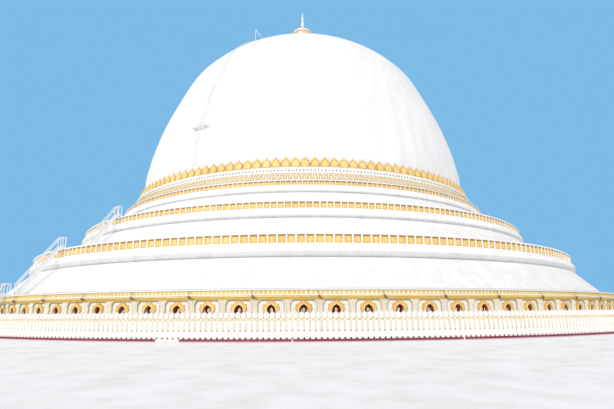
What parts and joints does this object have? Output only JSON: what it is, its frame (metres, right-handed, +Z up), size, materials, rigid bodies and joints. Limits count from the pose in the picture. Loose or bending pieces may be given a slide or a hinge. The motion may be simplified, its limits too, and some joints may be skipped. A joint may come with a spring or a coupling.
{
  "type": "stupa, 1:10 scale model",
  "caption": "Whitewashed stupa with a tall round dome on stepped terraces, a ring wall of arched niches, gold bands, a gilded finial and a ring railing; 1:10 scale model.",
  "frame": {"origin": "centre of the round base, on the ground", "axes": "+Z up along the axis of the dome, -Y towards the front, +X to the right seen from the front"},
  "size_m": [8.756, 8.756, 5.658],
  "materials": {
    "whitewash": "whitewashed lime plaster, matte, faintly streaked",
    "gold_paint": "ochre gold paint on plaster, satin",
    "gilding": "gilded metal, softly shining",
    "maroon_paint": "maroon paint on plaster, matte",
    "white_steel": "white painted steel, satin",
    "brickwork": "brick and paving, matte"
  },
  "bodies": {
    "root": {"platform": "brickwork", "railing_bay_01": "whitewash", "railing_bay_02": "whitewash", "railing_bay_03": "whitewash", "railing_bay_04": "whitewash", "railing_bay_05": "whitewash", "railing_bay_06": "whitewash", "railing_bay_07": "whitewash", "railing_bay_08": "whitewash", "railing_bay_09": "whitewash", "railing_bay_10": "whitewash", "railing_bay_11": "whitewash", "railing_bay_12": "whitewash", "plinth_course": "maroon_paint", "brick_core": "brickwork", "niche_wall_01": "whitewash", "niche_wall_02": "whitewash", "niche_wall_03": "whitewash", "niche_wall_04": "whitewash", "niche_wall_05": "whitewash", "niche_wall_06": "whitewash", "niche_wall_07": "whitewash", "niche_wall_08": "whitewash", "niche_wall_09": "whitewash", "niche_wall_10": "whitewash", "niche_wall_11": "whitewash", "niche_wall_12": "whitewash", "gold_moulding": "gold_paint", "tile_course": "whitewash", "terrace_1": "whitewash", "gold_band_1": "gold_paint", "terrace_2": "whitewash", "gold_band_2": "gold_paint", "terrace_3": "whitewash", "gold_band_3": "gold_paint", "dome_base": "whitewash", "lotus_crown": "gold_paint", "dome": "whitewash", "finial_plinth": "whitewash", "finial_bell": "gilding", "umbrella": "gilding", "spire_bud": "gilding", "stair_1": "white_steel", "stair_2": "white_steel", "stair_3": "white_steel", "dome_ladder": "white_steel", "ladder_landing": "white_steel", "summit_post": "white_steel"}
  },
  "joints": []
}
